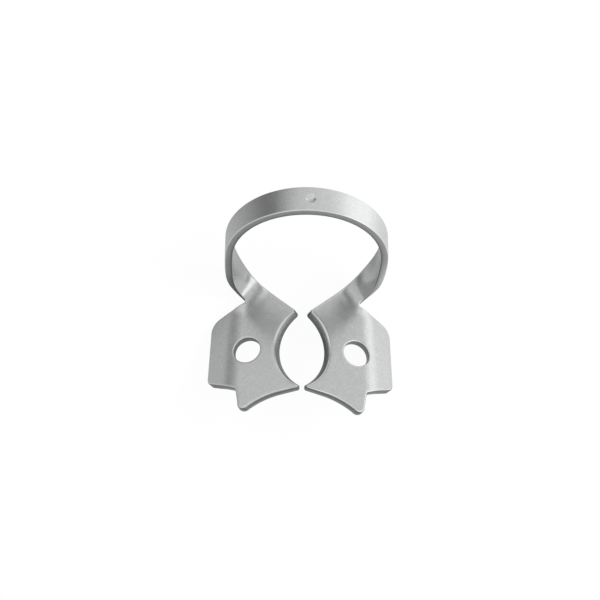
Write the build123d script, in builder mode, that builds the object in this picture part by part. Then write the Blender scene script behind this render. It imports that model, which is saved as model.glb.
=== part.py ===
from build123d import *
import math
import os

os.makedirs("parts", exist_ok=True)

# Millimetres and degrees. The clamp is drawn upright first: X across the jaws, Y towards the bow (distal), Z away
# from the gum, the origin halfway between the upper rims of the forceps holes. It is laid down at the end.

# Sheet; its cut edges are drawn square, and their fine tumbled rounding is left to the finish
SHEET = 0.95                # thickness of the spring steel

# Jaw plates, seen square to their own upper face; P is the distance outward from the forceps hole
TILT = 18.5                 # each plate leans, its inner edge up, until the clamp is opened on a tooth
HOLE_X = 6.85               # half the distance between the forceps holes
HOLE_R = 1.7
ARC_R = 6.1                 # tooth arc at the lower face
ARC_P = -4.04               # deepest point of that arc
ARC_Y = -0.45
BEVEL = 17.5                # lean of the cut face along the tooth arc
PRONG_P = -6.64             # the four prong ends stop here
PRONG_R = 0.42
PRONG_W = 0.65              # width of the lower prong's end, at the lower face
PRONG_CUT = 0.1             # the distal edge crosses the tooth arc this far before the upper prong's end

# Mesial edge and anterior wing
MESIAL_FALL = 8.0           # slope of the mesial edge where it meets the lower prong
MESIAL_RUN = 2.4            # it is straight this far, then curves down the anterior wing
HORN_P = 0.3                # centre of the rounded end of the anterior wing
HORN_Y = -7.35
HORN_R = 0.8
STEP_P = 1.4                # inner corner between anterior and central wing
STEP_Y = -5.2
STEP_R = 0.45

# Central wing
BEND_P = 1.4                # the wing starts to bend down here
BEND_R = 2.2                # radius inside the bend
WING_DROP = 22.0            # angle between the wing and the plate
WING_TOE = 2.5              # the bend line opens outward towards the mesial side
WING_LEN = 3.0              # flat length beyond the bend
WING_FAR = 6.5              # its distal and mesial edges are aimed at points this far out
WING_Y_DISTAL = 4.55
WING_Y_MESIAL = -2.95
WING_R_DISTAL = 1.9
WING_R_MESIAL = 0.9

# Root of the bow, in the plate's plane
ROOT_P = -0.54
ROOT_Y = 8.22
ROOT_DIR = 44.0             # direction of the strip where it leaves the plate
ROOT_W = 2.8
NOTCH_BACK = 0.55           # the notch between bow and wing lies this far before the root
NOTCH_R = 0.3

# Bow
LEAN = 82.0                 # angle between the plane of the bow and the level
BOW_A = 9.5                 # half width of the bow at the middle of the sheet
BOW_B = 8.9                 # rise from the widest level to the crown
WIDE_Y = 8.81
WIDE_Z = 10.1
SIDE_W = 3.4
CROWN_W = 3.72
ROOT_PULL = 2.2             # how far the strip runs on in the plate's plane before it climbs
SIDE_PULL = 3.8             # how far down the side keeps the direction of the bow
ROOT_STEPS = 8

REST = 32.1                 # the plates lean this much when the clamp lies on a table


def unit(v):
    return v * (1 / v.length)


tilt = math.radians(TILT)
out_dir = Vector(math.cos(tilt), 0, -math.sin(tilt))
up_dir = Vector(math.sin(tilt), 0, math.cos(tilt))
back_dir = Vector(0, 1, 0)
hole_top = Vector(HOLE_X, 0, 0)
jaw_plane = Plane(origin=hole_top, x_dir=out_dir, z_dir=up_dir)

# Strip of the bow: a curve through the middle of the sheet, and the direction across the strip at each place
root_a = math.radians(ROOT_DIR)
root_along = out_dir * math.cos(root_a) + back_dir * math.sin(root_a)
root_across = out_dir * math.sin(root_a) - back_dir * math.cos(root_a)
root_mid = hole_top + out_dir * ROOT_P + back_dir * ROOT_Y - up_dir * (SHEET / 2)
lean = math.radians(LEAN)
bow_up = Vector(0, math.cos(lean), math.sin(lean))
bow_across = Vector(0, -math.sin(lean), math.cos(lean))
bow_wide = Vector(BOW_A, WIDE_Y, WIDE_Z)


def section(mid, along, across, width):
    """Cross-section of the strip, square to its run."""
    z = unit(along)
    x = unit(across - z * across.dot(z))
    with BuildSketch(Plane(origin=mid, x_dir=x, z_dir=z)) as cut:
        Rectangle(width, SHEET)
    return cut.sketch


def root_section(s):
    """From the plate (s = 0) up to the widest level of the bow (s = 1), along a cubic curve."""
    p1 = root_mid + root_along * ROOT_PULL
    p2 = bow_wide - bow_up * SIDE_PULL
    q = 1 - s
    mid = root_mid * q**3 + p1 * (3 * q * q * s) + p2 * (3 * q * s * s) + bow_wide * s**3
    along = (p1 - root_mid) * (3 * q * q) + (p2 - p1) * (6 * q * s) + (bow_wide - p2) * (3 * s * s)
    f = s * s * (3 - 2 * s)
    across = root_across * (1 - f) + bow_across * f
    return mid, along, across, ROOT_W * (1 - f) + SIDE_W * f


# Blank of one jaw plate with its wings, as an outline in the plate's plane
root_run = Vector(math.cos(root_a), math.sin(root_a))
root_side = Vector(math.sin(root_a), -math.cos(root_a))
root_in = Vector(ROOT_P, ROOT_Y) - root_side * (ROOT_W / 2)
root_out = root_in + root_side * ROOT_W
notch = root_out - root_run * NOTCH_BACK
fall = math.radians(MESIAL_FALL)
arc_half = math.sqrt(ARC_R**2 - (PRONG_P - ARC_P + ARC_R) ** 2)
distal_y = ARC_Y + arc_half - PRONG_CUT
mesial_y = ARC_Y - arc_half - PRONG_W
prong_lo = Vector(PRONG_P, mesial_y)
mesial_mid = prong_lo + Vector(math.cos(fall), -math.sin(fall)) * MESIAL_RUN
prong_up = Vector(PRONG_P, distal_y)
horn_in, horn_end, horn_out = (Vector(HORN_P, HORN_Y) + Vector(HORN_R, 0).rotate(Axis.Z, a) for a in (224, 280, 10))
step = Vector(STEP_P, STEP_Y)
wing_lo = Vector(WING_FAR, WING_Y_MESIAL)
wing_up = Vector(WING_FAR, WING_Y_DISTAL)

with BuildSketch() as outline:
    with BuildLine():
        TangentArc(root_in, prong_up, tangent=root_run * -1)
        Line(prong_up, prong_lo)
        straight = Line(prong_lo, mesial_mid)
        TangentArc(mesial_mid, horn_in, tangent=straight % 1)
        ThreePointArc(horn_in, horn_end, horn_out)
        Line(horn_out, step)
        Line(step, wing_lo)
        Line(wing_lo, wing_up)
        Line(wing_up, notch)
        Line(notch, root_out)
        Line(root_out, root_in)
    make_face()
    fillet(outline.vertices().sort_by_distance(notch)[0], NOTCH_R)
    fillet(outline.vertices().sort_by_distance(step)[0], STEP_R)

SHEET_END = PRONG_P - 4
drop = math.radians(WING_DROP)
toe = Plane.XZ.rotated((0, 0, WING_TOE))
bend_mid = Vector(BEND_P, -SHEET - BEND_R)


def about_bend(r, a):
    """A point of the bend, at this radius and angle."""
    return bend_mid + Vector(math.sin(a), math.cos(a)) * r


def at_corner(part, x, y):
    """The cut edge of the sheet that stands at this corner of the outline."""
    upright = part.edges().filter_by(lambda e: abs((e @ 0).Z - (e @ 1).Z) > 0.8 * SHEET)
    return upright.sort_by(lambda e: math.hypot((e @ 0.5).X - x, (e @ 0.5).Y - y))[0]


with BuildPart() as jaw:
    # Bent sheet, longer than the outline
    with BuildSketch(toe):
        with BuildLine():
            top_end = about_bend(BEND_R + SHEET, drop)
            under_end = about_bend(BEND_R, drop)
            reach = Vector(math.cos(drop), -math.sin(drop)) * WING_LEN
            Line((SHEET_END, 0), (BEND_P, 0))
            ThreePointArc((BEND_P, 0), about_bend(BEND_R + SHEET, drop / 2), top_end)
            Line(top_end, top_end + reach)
            Line(top_end + reach, under_end + reach)
            Line(under_end + reach, under_end)
            ThreePointArc(under_end, about_bend(BEND_R, drop / 2), (BEND_P, -SHEET))
            Line((BEND_P, -SHEET), (SHEET_END, -SHEET))
            Line((SHEET_END, -SHEET), (SHEET_END, 0))
        make_face()
    extrude(amount=14, both=True)
    with BuildSketch(Plane.XY.offset(-6)):
        add(outline.sketch)
    extrude(amount=8, mode=Mode.INTERSECT)
    # Tooth arc, its cut face leaning
    widen = math.tan(math.radians(BEVEL))
    with Locations((ARC_P - ARC_R, ARC_Y, -SHEET / 2)):
        Cone(ARC_R - widen, ARC_R + widen * (SHEET + 1), SHEET + 2, mode=Mode.SUBTRACT)
    Hole(HOLE_R, depth=2 * SHEET)
    # Corners of the wing and of the prongs
    fillet(at_corner(jaw.part, WING_FAR, WING_Y_DISTAL), WING_R_DISTAL)
    fillet(at_corner(jaw.part, WING_FAR, WING_Y_MESIAL), WING_R_MESIAL)
    fillet(at_corner(jaw.part, PRONG_P, distal_y), PRONG_R)
    fillet(at_corner(jaw.part, PRONG_P, mesial_y + PRONG_W), PRONG_R * 0.8)
    fillet(at_corner(jaw.part, PRONG_P, mesial_y), PRONG_R * 0.7)

# Strip between the plate and the widest level of the bow, twisting as it climbs
with BuildPart() as root:
    loft([section(*root_section(i / ROOT_STEPS)) for i in range(ROOT_STEPS + 1)])

# Upper part of the bow: an arch, half an ellipse, cut to a band that is widest at the crown
front = Plane(origin=(0, WIDE_Y, WIDE_Z), x_dir=(1, 0, 0), z_dir=bow_across)
over = Plane(origin=(0, WIDE_Y, WIDE_Z), x_dir=(1, 0, 0), z_dir=bow_up)
with BuildPart() as bow:
    with BuildSketch(front):
        Ellipse(BOW_A + SHEET / 2, BOW_B + SHEET / 2)
        Ellipse(BOW_A - SHEET / 2, BOW_B - SHEET / 2, mode=Mode.SUBTRACT)
        with Locations((0, -BOW_B)):
            Rectangle(4 * BOW_A, 2 * BOW_B, mode=Mode.SUBTRACT)
    extrude(amount=CROWN_W, both=True)
    with BuildSketch(over):
        with BuildLine():
            w = SIDE_W / 2
            inside = BOW_A - SHEET / 2
            outside = BOW_A + SHEET
            Spline((-inside, w), (0, CROWN_W / 2), (inside, w), tangents=[(1, 0), (1, 0)])
            Polyline((inside, w), (outside, w), (outside, -w), (inside, -w))
            Spline((inside, -w), (0, -CROWN_W / 2), (-inside, -w), tangents=[(-1, 0), (-1, 0)])
            Polyline((-inside, -w), (-outside, -w), (-outside, w), (-inside, w))
        make_face()
    extrude(amount=2 * BOW_B, both=True, mode=Mode.INTERSECT)

with BuildPart() as joined:
    right = root.part.fuse(jaw.part.moved(jaw_plane.location), glue=True)
    add(bow.part.fuse(right, right.mirror(Plane.YZ)))

# The clamp lies back on its wings and the foot of the bow; the origin goes below the middle of its box
lying = joined.part.rotate(Axis.X, -REST)
box = lying.bounding_box()
to_floor = Location((0, -box.center().Y, -box.min.Z))
with BuildPart() as clamp:
    add(lying.moved(to_floor))

clamp.part.label = "clamp"
export_step(clamp.part, "parts/clamp.step")

hole_mid = hole_top - up_dir * (SHEET / 2)
turn = Location((0, 0, 0), (-REST, 0, 0))
for name, p in (("forceps hole, middle", hole_mid), ("a step along its axis", hole_mid + up_dir),
                ("tooth opening, middle", Vector(0, ARC_Y, 1))):
    q = (to_floor * turn * Location(p)).position
    print(name, round(q.X, 4), round(q.Y, 4), round(q.Z, 4))
print("solids", len(clamp.part.solids()), "volume", round(clamp.part.volume, 2), "valid", clamp.part.is_valid)
print("box", clamp.part.bounding_box())
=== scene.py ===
import math
import bmesh
import bpy
import numpy as np
from mathutils import Matrix, Vector
from mathutils.geometry import delaunay_2d_cdt


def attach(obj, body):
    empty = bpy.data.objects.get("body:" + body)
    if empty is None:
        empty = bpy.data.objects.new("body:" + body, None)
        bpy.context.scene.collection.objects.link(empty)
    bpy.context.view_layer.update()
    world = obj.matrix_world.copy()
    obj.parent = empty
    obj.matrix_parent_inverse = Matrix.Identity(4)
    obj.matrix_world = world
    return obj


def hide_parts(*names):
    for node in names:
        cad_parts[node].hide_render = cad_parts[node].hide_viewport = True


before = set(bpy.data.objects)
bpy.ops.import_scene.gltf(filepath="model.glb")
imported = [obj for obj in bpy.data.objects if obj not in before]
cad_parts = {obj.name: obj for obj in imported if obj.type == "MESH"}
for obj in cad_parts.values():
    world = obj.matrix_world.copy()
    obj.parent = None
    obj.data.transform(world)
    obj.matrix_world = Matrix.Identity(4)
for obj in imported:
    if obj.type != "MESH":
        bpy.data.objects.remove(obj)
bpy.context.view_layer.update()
MM = 0.001


# The camera. It looks almost straight down on the clamp, which lies back on its wings and the foot of its
# bow. The frame is 600 by 600, about 75 mm across at the clamp.
EYE = Vector((-11.58, 8.57, 284.87)) * MM
AIM = Vector((-0.44, -0.02, 5.5)) * MM
UPWARD = Vector((-0.0354, 1.0, 0.0))
LENS = 135.24
back = (EYE - AIM).normalized()
right = UPWARD.cross(back).normalized()
camera_data = bpy.data.cameras.new("camera")
camera_data.lens = LENS
camera_data.clip_start, camera_data.clip_end = 0.01, 10.0
camera = bpy.data.objects.new("camera", camera_data)
bpy.context.scene.collection.objects.link(camera)
turned = Matrix((right, back.cross(right), back)).transposed().to_4x4()
camera.matrix_world = Matrix.Translation(EYE) @ turned
bpy.context.scene.camera = camera
bpy.context.scene.view_settings.view_transform = "Standard"


class Value:
    """An output in a node tree. Plus, minus, times, divide and power on it add Math nodes."""

    def __init__(self, tree, out):
        self.tree, self.out = tree, out

    def math(self, operation, *others):
        """A Math node on this value and on others, values or numbers."""
        return add_node(self.tree, "ShaderNodeMath", {"operation": operation}, [self, *others])

    def __add__(self, other):
        return self.math("ADD", other)

    def __mul__(self, other):
        return self.math("MULTIPLY", other)

    def __sub__(self, other):
        return self.math("SUBTRACT", other)

    def __rsub__(self, other):
        return self.math("MULTIPLY_ADD", -1.0, other)

    def __truediv__(self, other):
        return self.math("DIVIDE", other)

    def __pow__(self, other):
        return self.math("POWER", other)

    __radd__ = __add__
    __rmul__ = __mul__

    def clip(self):
        """This value, held between 0 and 1."""
        return self.math("MAXIMUM", 0.0).math("MINIMUM", 1.0)


def add_node(tree, kind, settings, inputs, out=0):
    """Adds a node, with its settings first, then its inputs by name or in order. Gives one of its outputs."""
    node = tree.nodes.new(kind)
    for key, setting in settings.items():
        setattr(node, key, setting)
    pairs = inputs.items() if isinstance(inputs, dict) else enumerate(inputs)
    for key, given in pairs:
        if isinstance(given, Value):
            tree.links.new(given.out, node.inputs[key])
        else:
            node.inputs[key].default_value = given
    return Value(tree, node.outputs[out] if node.outputs else None)


# The light. A pale studio tent round the table. Bright panels stand on the clamp's right and behind it, and
# most of the grey cards low on its left. They give the satin steel its light and dark sides.
# Azimuth from +X towards +Y and elevation in degrees, how narrow the panel is, and what it adds to the tent.
TENT_LEVEL, TENT_DARKEST, TENT_BRIGHTEST = 0.75, 0.05, 1.6
PANELS = [(-20, -45, 12, 0.25), (0, -18, 12, 0.26), (60, -18, 12, 0.43), (15, 8, 12, 0.32),
          (45, 8, 12, 0.33), (0, 33, 12, 0.55), (30, 33, 12, 0.28), (90, 33, 12, 0.35),
          (120, 33, 12, 0.34), (150, 33, 12, 0.11), (-30, 33, 12, 0.32), (30, 58, 12, 0.16),
          (-30, 58, 12, 0.25), (42, -4, 50, 0.31), (-21, 20, 20, 0.90), (42, -6, 50, 0.35)]
CARDS = [(60, -45, 12, -0.50), (180, -45, 12, -0.40), (-140, -45, 12, -0.30), (120, -18, 12, -0.39),
         (135, 8, 12, -0.37), (52, 20, 50, -0.47), (125, -3, 50, -0.15), (-90, -6, 16, -0.30)]


def tent(tree, ray):
    """Brightness along a ray: the tent's level, and for each panel or card strength * cosine ** narrow."""
    light = TENT_LEVEL
    for azimuth, elevation, narrow, strength in PANELS + CARDS:
        a, e = math.radians(azimuth), math.radians(elevation)
        toward = Vector((math.cos(a) * math.cos(e), math.sin(a) * math.cos(e), math.sin(e)))
        dot = add_node(tree, "ShaderNodeVectorMath", {"operation": "DOT_PRODUCT"}, [ray, toward], "Value")
        light = light + strength * dot.math("MAXIMUM", 0.0) ** narrow
    return light.math("MAXIMUM", TENT_DARKEST).math("MINIMUM", TENT_BRIGHTEST)


world = bpy.data.worlds.new("studio")
bpy.context.scene.world = world
world.use_nodes = True
tree = world.node_tree
tree.nodes.clear()
ray = add_node(tree, "ShaderNodeTexCoord", {}, [], "Generated")
seen = add_node(tree, "ShaderNodeLightPath", {}, [], "Is Camera Ray")
strength = tent(tree, ray) * (1 - seen) + seen
sky = add_node(tree, "ShaderNodeBackground", {}, {"Color": (1, 1, 1, 1), "Strength": strength})
add_node(tree, "ShaderNodeOutputWorld", {}, {"Surface": sky})

# One soft lamp, high on the right, which throws the shadow and isn't seen in the steel
LAMP_ACROSS, LAMP_ALONG, LAMP_POWER = 0.16, 0.12, 0.50
LAMP_AT = Vector((0.22, 0.10, 0.26))
panel_data = bpy.data.lights.new("panel", "AREA")
panel_data.shape, panel_data.size, panel_data.size_y = "RECTANGLE", LAMP_ACROSS, LAMP_ALONG
panel_data.energy = LAMP_POWER
panel = bpy.data.objects.new("panel", panel_data)
bpy.context.scene.collection.objects.link(panel)
panel.location = LAMP_AT
panel.rotation_mode = "QUATERNION"
panel.rotation_quaternion = (panel.location - AIM).to_track_quat("Z", "Y")
panel.visible_glossy = False


# The table top: plain white laminate, on which the clamp lies and throws a soft shadow. Where the steel
# mirrors it, it glows as the tent does in that direction, taken from a place just above its middle.
TABLE_SIZE, TABLE_SINK = 1.2, 0.00002
TABLE_WHITE = (0.92, 0.92, 0.92, 1)
LOOKOUT = (0, 0, 0.008)
GLOW_IN_STEEL, GLOW_SEEN = 0.9, 0.94    # how much of the table is glow, in the steel and to the camera
ends = np.array([[-1, -1], [1, -1], [1, 1], [-1, 1]]) * TABLE_SIZE / 2
table_mesh = bpy.data.meshes.new("table_top")
table_mesh.from_pydata(np.column_stack([ends, np.full(4, -TABLE_SINK)]).tolist(), [], [(0, 1, 2, 3)])
table_top = bpy.data.objects.new("table_top", table_mesh)
bpy.context.scene.collection.objects.link(table_top)
white = bpy.data.materials.new("white_table")
white.use_nodes = True
tree = white.node_tree
tree.nodes.clear()
spot = add_node(tree, "ShaderNodeTexCoord", {}, [], "Object")
rise = add_node(tree, "ShaderNodeVectorMath", {"operation": "SUBTRACT"}, [spot, LOOKOUT], "Vector")
ray = add_node(tree, "ShaderNodeVectorMath", {"operation": "NORMALIZE"}, [rise], "Vector")
seen = add_node(tree, "ShaderNodeLightPath", {}, [], "Is Camera Ray")
gloss = Value(tree, seen.out.node.outputs["Is Glossy Ray"])
lit = add_node(tree, "ShaderNodeBsdfDiffuse", {}, {"Color": TABLE_WHITE})
glow = add_node(tree, "ShaderNodeEmission", {},
                {"Color": (1, 1, 1, 1), "Strength": tent(tree, ray) * gloss + seen})
surface = add_node(tree, "ShaderNodeMixShader", {}, [gloss * GLOW_IN_STEEL + seen * GLOW_SEEN, lit, glow])
add_node(tree, "ShaderNodeOutputMaterial", {}, {"Surface": surface})
table_mesh.materials.append(white)


# The clamp. One blank is punched from a sheet of spring steel, with the forceps holes and the tooth arcs cut
# out of it; the wings are bent down, and the strip between the two jaws is drawn round into the bow. Then it
# is hardened and tumbled, which rounds all the cut edges and leaves the faces a fine even satin.
# Millimetres and degrees, drawn upright: X across the jaws, Y towards the bow, Z away from the gum.
SHEET = 0.95
ROLL, BURR = 0.20, 0.12     # rounding of the cut edges, at the upper face of the sheet and at the lower
TIP_ROLL = 0.06             # at the ends of the prongs
ARC_ROLL = 0.40             # where the punch drew the sheet down along the tooth arc
ROUND_PLACES, CUT_PLACES = 7, 5     # on each rounding of a cut edge, and on the straight between them


def unit(v):
    """Each vector, divided by its own length."""
    return v / np.linalg.norm(v, axis=-1, keepdims=True)


def heading(angle):
    """The direction (cos a, sin a), for an angle in degrees."""
    a = np.radians(angle)
    return np.stack([np.cos(a), np.sin(a)], axis=-1)


def edge_profile(roll, burr):
    """
    The way over a cut edge of the sheet: a quarter circle of radius roll, a straight down the cut, a quarter
    circle of radius burr. Gives, for each place, its inset from the cut, its depth below the upper face, and
    how far it is on the cut itself, from 0 on a face to 1.
    """
    turn, level = np.radians(np.linspace(0, 90, ROUND_PLACES)), np.linspace(0, 1, CUT_PLACES)[1:-1]
    roll = np.asarray(roll)[..., None]
    none = 0 * roll
    inset = np.concatenate([roll * (1 - np.sin(turn)), none * level,
                            none + burr * (1 - np.cos(turn))], axis=-1)
    depth = np.concatenate([roll * (1 - np.cos(turn)), roll + (SHEET - roll - burr) * level,
                            none + SHEET - burr * (1 - np.sin(turn))], axis=-1)
    return inset, depth, np.concatenate([np.sin(turn) ** 2, 1 + 0 * level, np.cos(turn) ** 2])


def shell_faces(rows, columns, closed):
    """Four-sided faces between neighbours in a grid. The last column of a closed grid meets its first."""
    place = np.arange(rows * columns).reshape(rows, columns)
    if closed:
        place = np.concatenate([place, place[:, :1]], axis=1)
    return np.stack([place[:-1, :-1], place[1:, :-1], place[1:, 1:], place[:-1, 1:]], axis=-1).reshape(-1, 4)


# Jaw plate, seen square to its own upper face: P outward from the forceps hole, Y towards the bow
TILT = 18.5
HOLE_X, HOLE_R = 6.85, 1.7
ARC_R, ARC_P, ARC_Y, ARC_SPAN, BEVEL = 6.1, -4.04, -0.45, 75, 17.5
PRONG_P, PRONG_R, PRONG_W, PRONG_CUT = -6.64, 0.42, 0.65, 0.1
MESIAL_FALL, MESIAL_RUN = 8.0, 2.4
HORN, HORN_R, HORN_FROM, HORN_TO = np.array([0.3, -7.35]), 0.8, 224.0, 370.0
STEP, STEP_R = np.array([1.4, -5.2]), 0.45
BEND_P, BEND_R, WING_DROP, WING_TOE, WING_LEN = 0.817, 5.2, 22.0, 2.5, 2.417
WING_FAR, WING_Y_DISTAL, WING_Y_MESIAL, WING_R_DISTAL, WING_R_MESIAL = 6.5, 4.55, -2.95, 1.9, 0.9
ROOT, ROOT_DIR, ROOT_W = np.array([-0.54, 8.22]), 44.0, 2.8
NOTCH_BACK, NOTCH_R = 0.55, 0.3
NECK_RUN, NECK_TURN = 2.0, 30.0     # the neck of the plate already curves up, over this run and by this angle
NECK_ASIDE = 2.2                    # and fades out over this distance towards the wing
EDGE_PLACES = [64, 9, 110, 7, 5, 7, 130, 9, 30, 14, 34, 24, 22, 9, 8]   # on the edge's curves and rounds
tilt, drop, neck = math.radians(TILT), math.radians(WING_DROP), math.radians(NECK_TURN)
out_dir = np.array([math.cos(tilt), 0, -math.sin(tilt)])
up_dir = np.array([math.sin(tilt), 0, math.cos(tilt)])
root_run, root_side = heading(ROOT_DIR), heading(ROOT_DIR - 90)
root_in, root_out = ROOT - root_side * ROOT_W / 2, ROOT + root_side * ROOT_W / 2
notch = root_out - root_run * NOTCH_BACK
arc_mid = np.array([ARC_P - ARC_R, ARC_Y])
arc_half = math.sqrt(ARC_R ** 2 - (PRONG_P - ARC_P + ARC_R) ** 2)
prong_up = np.array([PRONG_P, ARC_Y + arc_half - PRONG_CUT])
prong_lo = np.array([PRONG_P, ARC_Y - arc_half - PRONG_W])
toe_out, toe_along = heading(WING_TOE), heading(WING_TOE + 90)
neck_r = NECK_RUN / math.sin(neck)


def straight(start, end, before=0.0, beyond=0.0, count=200):
    """Evenly spaced places from start to end, and so much further at both ends."""
    way = unit(end - start)
    share = np.linspace(0, 1, count)[:, None]
    return (start - way * before) * (1 - share) + (end + way * beyond) * share


def arc_about(mid, radius, first, last, count=400):
    """Places on a circle, from one angle to another, in degrees."""
    return mid + radius * heading(np.linspace(first, last, count))


def arc_from(start, way, end, beyond=0.0):
    """
    The arc that leaves its start in a given direction and reaches the end, and goes on beyond it: its radius
    is chord^2 / (2 normal . chord).
    """
    side = np.array([-way[1], way[0]])
    radius = ((end - start) @ (end - start)) / (2 * side @ (end - start))
    mid = start + side * radius
    a = np.degrees(np.arctan2(*(start - mid)[::-1]))
    turn = (np.degrees(np.arctan2(*(end - mid)[::-1])) - a + 180) % 360 - 180
    return arc_about(mid, abs(radius), a, a + turn + math.copysign(math.degrees(beyond / abs(radius)), turn))


def sideways(curve, distance):
    """The curve moved to its left, square to its run."""
    run = unit(np.gradient(curve, axis=0))
    return curve + distance * np.stack([-run[:, 1], run[:, 0]], axis=-1)


def crossing(one, other):
    """Where two dense curves cross: p + s r = q + t u for two of their steps, with s and t from 0 to 1."""
    p, r = one[:-1, None], np.diff(one, axis=0)[:, None]
    q, u = other[None, :-1], np.diff(other, axis=0)[None]
    area = r[..., 0] * u[..., 1] - r[..., 1] * u[..., 0] + 1e-15
    s = ((q - p)[..., 0] * u[..., 1] - (q - p)[..., 1] * u[..., 0]) / area
    t = ((q - p)[..., 0] * r[..., 1] - (q - p)[..., 1] * r[..., 0]) / area
    i, j = np.argwhere((s >= 0) & (s <= 1) & (t >= 0) & (t <= 1))[0]
    return i + s[i, j], j + t[i, j]


def stretch(curve, first, last, count):
    """Part of a dense curve, between two places on it, as so many places at even lengths."""
    inner = np.arange(int(first) + 1, int(math.ceil(last)))
    where = np.concatenate([[first], inner, [last]])
    part = np.stack([np.interp(where, np.arange(len(curve)), curve[:, k]) for k in (0, 1)], axis=-1)
    run = np.concatenate([[0], np.cumsum(np.linalg.norm(np.diff(part, axis=0), axis=1))])
    even = np.linspace(0, run[-1], count)
    return np.stack([np.interp(even, run, part[:, k]) for k in (0, 1)], axis=-1)


def chained(curves, radii, counts):
    """
    Edge curves one after another, with a round between each two. Its middle is where both curves, moved
    sideways by its radius, cross: to the left where the radius is positive, and to the right at an inner
    corner.
    """
    starts, ends, rounds = [0.0], [], []
    for one, other, radius in zip(curves, curves[1:], radii):
        s, t = crossing(sideways(one, radius), sideways(other, radius))
        mid = stretch(sideways(one, radius), s, s, 2)[0]
        a, b = stretch(one, s, s, 2)[0] - mid, stretch(other, t, t, 2)[0] - mid
        first = math.degrees(math.atan2(a[1], a[0]))
        turn = (math.degrees(math.atan2(b[1], b[0])) - first + 180) % 360 - 180
        rounds.append((mid, abs(radius), first, first + turn))
        ends.append(s)
        starts.append(t)
    ends.append(len(curves[-1]) - 1.0)
    places = []
    for k, curve in enumerate(curves):
        places.append(stretch(curve, starts[k], ends[k], counts[2 * k])[1 if k else 0:])
        if k < len(rounds):
            places.append(arc_about(*rounds[k], counts[2 * k + 1])[1:])
    return np.concatenate(places)


def jaw_outline(arc_radius, end, reach, tips):
    """
    Edge of the jaw plate, counter-clockwise from the inner side of the root round the prongs and wings to its
    outer side. The curves run a little past each corner, so that neighbours cross.
    """
    distal = arc_from(root_in, -root_run, prong_up, beyond=0.8)
    if reach:
        distal = np.concatenate([straight(root_in + root_run * reach, root_in)[:-1], distal])
    mesial_mid = prong_lo + heading(-MESIAL_FALL) * MESIAL_RUN
    horn_in, horn_out = HORN + HORN_R * heading(HORN_FROM), HORN + HORN_R * heading(HORN_TO)
    mesial = np.concatenate([straight(prong_lo, mesial_mid, before=0.6)[:-1],
                             arc_from(mesial_mid, heading(-MESIAL_FALL), horn_in)[:-1],
                             arc_about(HORN, HORN_R, HORN_FROM, HORN_TO)[:-1],
                             straight(horn_out, STEP, beyond=0.8)])
    curves = [distal,
              arc_about(arc_mid, arc_radius, ARC_SPAN, -ARC_SPAN, 900),
              straight(np.array([PRONG_P, ARC_Y - 3]), prong_lo, beyond=0.6),
              mesial,
              straight(STEP, np.array([WING_FAR, WING_Y_MESIAL]), before=0.8),
              straight(toe_out * end - toe_along * 6, toe_out * end + toe_along * 8),
              straight(np.array([WING_FAR, WING_Y_DISTAL]), notch, before=1.0, beyond=0.6),
              straight(notch, root_out + root_run * reach, before=0.6)]
    radii = [PRONG_R, *tips, -STEP_R, WING_R_MESIAL, WING_R_DISTAL, -NOTCH_R]
    return chained(curves, radii, EDGE_PLACES)


def neck_rise(plan, radius):
    """Height that the neck gains: r - sqrt(r^2 - t^2) along the root's run, none at the side by the wing."""
    run, far = (plan - ROOT) @ root_run + NECK_RUN, radius * math.sin(neck)
    aside = np.clip(((plan - ROOT) @ root_side - ROOT_W / 2) / NECK_ASIDE, 0, 1)
    curved = radius - np.sqrt(radius ** 2 - np.clip(run, 0, far) ** 2)
    rise = curved + np.maximum(run - far, 0) * math.tan(neck)
    return rise * (1 - aside * aside * (3 - 2 * aside))


def upper_face(plan):
    """Height of the upper face: level, then round the bend at radius R + h, then down the wing's slope."""
    out, far = plan @ toe_out - BEND_P, (BEND_R + SHEET) * math.sin(drop)
    bent = np.sqrt((BEND_R + SHEET) ** 2 - np.clip(out, 0, far) ** 2) - BEND_R - SHEET
    return bent - np.maximum(out - far, 0) * math.tan(drop) + neck_rise(plan, neck_r)


def lower_face(plan):
    """Height of the lower face: as the upper face, one sheet down and round the bend at radius R."""
    out, far = plan @ toe_out - BEND_P, BEND_R * math.sin(drop)
    bent = np.sqrt(BEND_R ** 2 - np.clip(out, 0, far) ** 2) - BEND_R - SHEET
    return bent - np.maximum(out - far, 0) * math.tan(drop) + neck_rise(plan, neck_r + SHEET)


def upright(plan, depth):
    """From the plate's own plan and a depth in the sheet to the upright clamp; depth 0 is the upper face."""
    share = depth / SHEET
    height = upper_face(plan) * (1 - share) + lower_face(plan) * share
    return (np.array([HOLE_X, 0, 0]) + plan[..., :1] * out_dir + plan[..., 1:] * np.array([0, 1.0, 0])
            + height[..., None] * up_dir)


def inside(points, loop):
    """Which points lie within a closed line: a ray to their right crosses it an odd number of times."""
    x, y = points[:, :1], points[:, 1:]
    a, b = loop, np.roll(loop, -1, axis=0)
    level = (a[:, 1] > y) != (b[:, 1] > y)
    climb = np.where(b[:, 1] == a[:, 1], 1e-12, b[:, 1] - a[:, 1])
    at = a[:, 0] + (y - a[:, 1]) * (b[:, 0] - a[:, 0]) / climb
    return (level & (x < at)).sum(axis=1) % 2 == 1


GRID_OUT, GRID_ACROSS = (-9, 8), 0.22       # reach and spacing outward
GRID_UP, GRID_ALONG = (-10, 11), 0.24       # and towards the bow
GRID_ROOM = 0.13                            # least distance from the rim
SAME_SPOT, SLIVER = 1e-7, 1e-8


def ring(first, count):
    """Each place of a closed line, and the next one."""
    place = np.arange(count)
    return np.stack([place, np.roll(place, -1)], axis=-1) + first


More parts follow.
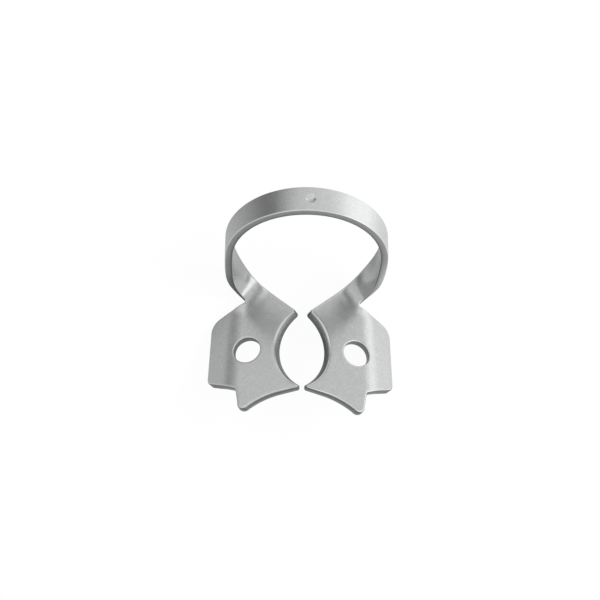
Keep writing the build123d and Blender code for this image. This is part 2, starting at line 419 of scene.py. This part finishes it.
def filled(edge, hole):
    """A face within an edge and round a hole: their places and a grid along the bend, joined by triangles."""
    across, along = np.meshgrid(np.arange(*GRID_OUT, GRID_ACROSS), np.arange(*GRID_UP, GRID_ALONG))
    grid = across.reshape(-1, 1) * toe_out + along.reshape(-1, 1) * toe_along
    rim = np.concatenate([edge, hole])
    room = np.linalg.norm(grid[:, None] - rim[None], axis=-1).min(axis=1) > GRID_ROOM
    grid = grid[room & inside(grid, edge) & ~inside(grid, hole)]
    places = np.concatenate([rim, grid])
    bounds = np.concatenate([ring(0, len(edge)), ring(len(edge), len(hole))])
    found = delaunay_2d_cdt([Vector(p) for p in places.tolist()], bounds.tolist(), [], 0, SAME_SPOT)
    faces = np.array(found[2])
    middle = places[faces].mean(axis=1)
    a, b = (places[faces[:, k]] - places[faces[:, 0]] for k in (1, 2))
    broad = np.abs(a[:, 0] * b[:, 1] - a[:, 1] * b[:, 0]) > SLIVER
    return places, faces[broad & inside(middle, edge) & ~inside(middle, hole)]


# The edge of the plate at both faces of the sheet, and the rounded cut between them
TOP_TIPS = [PRONG_R * 0.48, PRONG_R * 0.3]      # rounds at the mesial prong's two corners, upper face
LOW_TIPS = [PRONG_R * 0.8, PRONG_R * 0.7]       # and lower face
TIP_REACH = 1.5                     # how far from a prong's end its small rounding goes
DISTAL_TIP = 0.6                    # how much of it the distal prong has
ARC_NEAR, ARC_FADE = 0.3, 0.25      # where the wide rounding of the tooth arc lies, and how soon it fades
end_top = BEND_P + (BEND_R + SHEET) * math.sin(drop) + WING_LEN * math.cos(drop)
end_low = BEND_P + BEND_R * math.sin(drop) + WING_LEN * math.cos(drop)
neck_reach = SHEET * math.sin(neck)
top = jaw_outline(ARC_R + math.tan(math.radians(BEVEL)) * SHEET, end_top, 0, TOP_TIPS)
low = jaw_outline(ARC_R, end_low, neck_reach, LOW_TIPS)
run = unit(np.gradient(top, axis=0))
outward = np.stack([run[:, 1], -run[:, 0]], axis=-1)
outward[0], outward[-1] = -root_side, root_side
tips = np.exp(-(np.linalg.norm(top - prong_lo, axis=1) / TIP_REACH) ** 2)
tips = np.maximum(tips, DISTAL_TIP * np.exp(-(np.linalg.norm(top - prong_up, axis=1) / TIP_REACH) ** 2))
near_arc = np.exp(-((np.linalg.norm(top - arc_mid, axis=1) - ARC_R - ARC_NEAR) / ARC_FADE) ** 2)
roll = (ROLL + (ARC_ROLL - ROLL) * near_arc) * (1 - tips) + TIP_ROLL * tips
inset, depth, on_cut = edge_profile(roll, BURR)
plan = top[:, None] + (low - top)[:, None] * (depth / SHEET)[..., None] - outward[:, None] * inset[..., None]
rim = upright(plan, depth)

# Forceps hole, punched square through the sheet
HOLE_PLACES, HOLE_ROLL = 96, ROLL * 0.8
around = arc_about(np.zeros(2), 1.0, 0, 360, HOLE_PLACES + 1)[:-1]
hole_inset, hole_depth, _ = edge_profile(HOLE_ROLL, BURR)
hole_plan = around * (HOLE_R + hole_inset)[:, None, None]
hole_wall = upright(hole_plan, np.broadcast_to(hole_depth[:, None], hole_plan.shape[:2]))

# Strip from the root to the crown: a middle line with a direction along and one across it, and a width
BOW_A, BOW_B, LEAN = 9.5, 8.9, 82.0
WIDE_Y, WIDE_Z = 8.81, 10.1         # where the bow is widest
SIDE_W, CROWN_W, ROOT_PULL, SIDE_PULL = 3.4, 3.72, 2.2, 3.6
CLIMB_ROWS, ARCH_ROWS, CROWN_ROWS = 56, 52, 14
CROWN_FROM = 84                     # degrees; from here on the rows lie close, for the punch mark
wide = np.array([BOW_A, WIDE_Y, WIDE_Z])
x_dir = np.array([1.0, 0, 0])
bow_up = np.array([0, *heading(LEAN)])
bow_across = np.array([0, *heading(LEAN + 90)])
level_run = out_dir * root_run[0] + np.array([0, root_run[1], 0])
along_0 = level_run * math.cos(neck) + up_dir * math.sin(neck)
across_0 = out_dir * root_side[0] + np.array([0, root_side[1], 0])
root_up = up_dir * math.cos(neck) - level_run * math.sin(neck)
root_mid = (HOLE_X * x_dir + out_dir * ROOT[0] + np.array([0, ROOT[1], 0])
            + up_dir * neck_r * (1 - math.cos(neck)) - root_up * SHEET / 2)


def strip():
    """
    Climb: a cubic curve (1-s)^3 a + 3 (1-s)^2 s b + 3 (1-s) s^2 c + s^3 d, its width and crosswise direction
    blended by s^2 (3 - 2 s). Arch: the quarter ellipse A cos t, B sin t, widening with sin^2 t to the crown.
    """
    s = np.linspace(0, 1, CLIMB_ROWS)[:, None]
    q, blend = 1 - s, s * s * (3 - 2 * s)
    b, c = root_mid + along_0 * ROOT_PULL, wide - bow_up * SIDE_PULL
    mid = root_mid * q ** 3 + b * 3 * q * q * s + c * 3 * q * s * s + wide * s ** 3
    along = (b - root_mid) * 3 * q * q + (c - b) * 6 * q * s + (wide - c) * 3 * s * s
    across = across_0 * (1 - blend) + bow_across * blend
    width = ROOT_W * (1 - blend) + SIDE_W * blend
    t = np.radians(np.concatenate([np.linspace(0, CROWN_FROM, ARCH_ROWS)[1:],
                                   np.linspace(CROWN_FROM, 90, CROWN_ROWS)[1:]])[:, None])
    arch = wide + x_dir * BOW_A * (np.cos(t) - 1) + bow_up * BOW_B * np.sin(t)
    mid = np.concatenate([mid, arch])
    along = np.concatenate([along, -x_dir * BOW_A * np.sin(t) + bow_up * BOW_B * np.cos(t)])
    across = np.concatenate([across, bow_across + 0 * arch])
    width = np.concatenate([width, SIDE_W + (CROWN_W - SIDE_W) * np.sin(t) ** 2])
    along = unit(along)
    across = unit(across - along * (across * along).sum(axis=1, keepdims=True))
    return mid, across, np.cross(along, across), width


FLAT = 25       # places across each face of the strip
mid, across, down, width = strip()
edge_inset, edge_depth, _ = edge_profile(ROLL, BURR)
level = np.linspace(-1, 1, FLAT)
half = width / 2
upper_row, lower_row = level * (half - ROLL), level[::-1][1:-1] * (half - BURR)
to_right, to_left = (half - edge_inset)[:, 1:], (edge_inset - half)[:, :0:-1]
sidestep = np.concatenate([upper_row, to_right, lower_row, to_left], axis=1)
depth_row = np.concatenate([0 * level, edge_depth[1:], SHEET + 0 * level[1:-1], edge_depth[:0:-1]])
depth_row = depth_row - SHEET / 2
band = mid[:, None] + across[:, None] * sidestep[..., None] + down[:, None] * depth_row[:, None]

# The small round mark of a centre punch on the crown, sunk by depth * (1 - r^2) ^ power, r = 1 at its rim
MARK_R, MARK_DEPTH, MARK_POWER = 0.6, 0.22, 0.8
many = len(on_cut)
outer = slice(FLAT + many - 2, 2 * FLAT + many - 2)
away = np.linalg.norm(band[:, outer] - (mid[-1] + down[-1] * SHEET / 2), axis=-1, keepdims=True) / MARK_R
band[:, outer] -= down[:, None] * MARK_DEPTH * np.clip(1 - away ** 2, 0, 1) ** MARK_POWER
band[-1, :, 0] = 0

# The cut is tumbled smooth on the bow, with a line of painted shade left along its inner corner, where the
# rounding mirrors the shaded underside; towards the plate it is as cut
CUT_UNTIL, CUT_FADE = 8, 30     # rows
bow_cut_and_shade = np.array([0, 0.2, 0.45, 0.7, 0.8, 0.75, 0.62, 0.48, 0.43,
                    0.41, 0.38, 0.34, 0.28, 0.22, 0.15, 0.07, 0])
near_bow = np.clip((np.arange(len(band)) - CUT_UNTIL) / CUT_FADE, 0, 1)[:, None]
side_cut_and_shade = on_cut * (1 - near_bow) + bow_cut_and_shade * near_bow
flat_cut = np.zeros((len(band), FLAT))
band_cut_and_shade = np.concatenate([flat_cut, side_cut_and_shade[:, 1:], flat_cut[:, 1:-1], side_cut_and_shade[:, :0:-1]], axis=1)

# The plate's edge starts and ends as the sides of the strip do
rim[-1] = band[0, FLAT - 1:FLAT - 1 + many]
rim[0] = band[0, np.r_[0, -1:-many:-1]]

# Along the front of the jaws the lower part of the cut is smooth and paler, as the punch left it
PALE_Y, PALE_FADE, PALE_SHARE, PALE_BELOW = -3.0, 2.0, 0.5, 7
pale = np.clip((PALE_Y - top[:, 1]) / PALE_FADE, 0, 1) * (1 - near_arc)
rim_cut = on_cut * (1 - PALE_SHARE * pale[:, None] * (np.arange(many) > PALE_BELOW))

# The two faces of the plate, within the rounded edge and up to the flat of the strip
seam = level[::-1][1:-1, None]
top_edge = ROOT + root_side * seam * (ROOT_W / 2 - ROLL)
low_edge = ROOT + root_run * neck_reach + root_side * seam * (ROOT_W / 2 - BURR)
top_face, top_tris = filled(np.concatenate([plan[:, 0], top_edge]), hole_plan[0])
low_face, low_tris = filled(np.concatenate([plan[:, -1], low_edge]), hole_plan[-1])
hole_cut = np.repeat(on_cut, hole_wall.shape[1])
parts = [(rim.reshape(-1, 3), shell_faces(*rim.shape[:2], False), rim_cut.reshape(-1)),
         (hole_wall.reshape(-1, 3), shell_faces(*hole_wall.shape[:2], True), hole_cut),
         # The bow's cut carries its painted shade along the inner corner
         (band.reshape(-1, 3), shell_faces(*band.shape[:2], True), band_cut_and_shade.reshape(-1)),
         (upright(top_face, np.zeros(len(top_face))), top_tris, np.zeros(len(top_face))),
         (upright(low_face, np.full(len(low_face), SHEET)), low_tris, np.zeros(len(low_face)))]

# Both halves, joined where they meet and laid back on the wings and the foot of the bow
REST, TO_TABLE = 32.1, np.array([0, -6.4225, 5.5141])
SAME_PLACE = 5e-6       # metres
points = np.concatenate([part[0] for part in parts])
starts = np.cumsum([0] + [len(part[0]) for part in parts])
quads = np.concatenate([part[1] + start for part, start in zip(parts[:3], starts)])
tris = np.concatenate([part[1] + start for part, start in zip(parts[3:], starts[3:])])
cut = np.concatenate([part[2] for part in parts])
count = len(points)
points = np.concatenate([points, points * np.array([-1, 1, 1])])
cos_rest, sin_rest = math.cos(math.radians(REST)), math.sin(math.radians(REST))
laid_back = np.array([[1, 0, 0], [0, cos_rest, sin_rest], [0, -sin_rest, cos_rest]])
points = (points @ laid_back.T + TO_TABLE) * MM
faces = [*quads.tolist(), *tris.tolist(),
         *(quads[:, ::-1] + count).tolist(), *(tris[:, ::-1] + count).tolist()]
mesh = bpy.data.meshes.new("spring_clamp")
mesh.from_pydata(points.tolist(), [], faces)
mesh.attributes.new("cut", "FLOAT", "POINT").data.foreach_set("value", np.tile(cut, 2).astype(np.float32))
shell = bmesh.new()
shell.from_mesh(mesh)
bmesh.ops.remove_doubles(shell, verts=shell.verts, dist=SAME_PLACE)
bmesh.ops.recalc_face_normals(shell, faces=shell.faces)
shell.to_mesh(mesh)
shell.free()
mesh.shade_smooth()
clamp = bpy.data.objects.new("spring_clamp", mesh)
bpy.context.scene.collection.objects.link(clamp)
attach(clamp, "root")
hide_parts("clamp")

# Satin steel: the faces a pale grey with a fine tumbled grain. The cut edges are rougher from the punch, and
# their colour is painted darker as painted shade, for the dark that the cut faces mirror; at their corners
# they are worn smooth and painted brighter as a painted highlight.
FACE_DARK, FACE_PALE = (0.45, 0.458, 0.458, 1), (0.67, 0.673, 0.673, 1)
# Colours of the cut faces: painted shade, a darker copy of the steel
SHADED_CUT_DARK, SHADED_CUT_PALE = (0.13, 0.144, 0.142, 1), (0.30, 0.321, 0.318, 1)
# A painted highlight: a bright line painted along the rounded corners of the cut edges, where the tumbled
# corner is also worn smooth
PAINTED_RIM_HIGHLIGHT = (0.82, 0.823, 0.823, 1)
CLOUD_SCALE, GRAIN_SCALE = 1100.0, 4200.0       # waves to the metre, about
FACE_ROUGH, GRAIN_DEPTH = 0.26, 0.002
RIM_HIGHLIGHT_AT = 0.22      # place on the rounded corner, from 0 on the face to 1 on the cut
steel = bpy.data.materials.new("satin_steel")
steel.use_nodes = True
tree = steel.node_tree
tree.nodes.clear()
place = add_node(tree, "ShaderNodeTexCoord", {}, [], "Object")
on_edge = add_node(tree, "ShaderNodeAttribute", {"attribute_name": "cut"}, [], "Fac")
cloud = add_node(tree, "ShaderNodeTexNoise", {}, {"Vector": place, "Scale": CLOUD_SCALE, "Detail": 3.0})
grain = add_node(tree, "ShaderNodeTexNoise", {}, {"Vector": place, "Scale": GRAIN_SCALE, "Detail": 3.0})
tone = (cloud - 0.5) * 0.3 + (grain - 0.5) * 0.9 + 0.5
face = add_node(tree, "ShaderNodeMix", {"data_type": "RGBA"},
                {0: tone.clip(), 6: FACE_DARK, 7: FACE_PALE}, 2)
# The cut faces' colour: painted shade, darker than the steel's own grey
shaded_cut = add_node(tree, "ShaderNodeMix", {"data_type": "RGBA"},
                   {0: tone.clip(), 6: SHADED_CUT_DARK, 7: SHADED_CUT_PALE}, 2)
# Where the corner is worn: less rough, and its colour painted brighter as a painted highlight
worn_and_highlight = (1 - (on_edge - RIM_HIGHLIGHT_AT).math("ABSOLUTE") / RIM_HIGHLIGHT_AT).clip()
with_rim_highlight = add_node(tree, "ShaderNodeMix", {"data_type": "RGBA"}, {0: worn_and_highlight * 0.7, 6: face, 7: PAINTED_RIM_HIGHLIGHT}, 2)
colour = add_node(tree, "ShaderNodeMix", {"data_type": "RGBA"},
                  {0: ((on_edge - 0.2) / 0.5).clip(), 6: with_rim_highlight, 7: shaded_cut}, 2)
rough = FACE_ROUGH + (cloud - 0.5) * 0.06 + on_edge * 0.14 - worn_and_highlight * 0.10
bump = add_node(tree, "ShaderNodeBump", {}, {"Strength": 1.0, "Distance": MM, "Height": grain * GRAIN_DEPTH})
metal = add_node(tree, "ShaderNodeBsdfPrincipled", {},
                 {"Base Color": colour, "Metallic": 1.0, "Roughness": rough, "Normal": bump})
add_node(tree, "ShaderNodeOutputMaterial", {}, {"Surface": metal})
clamp.data.materials.append(steel)
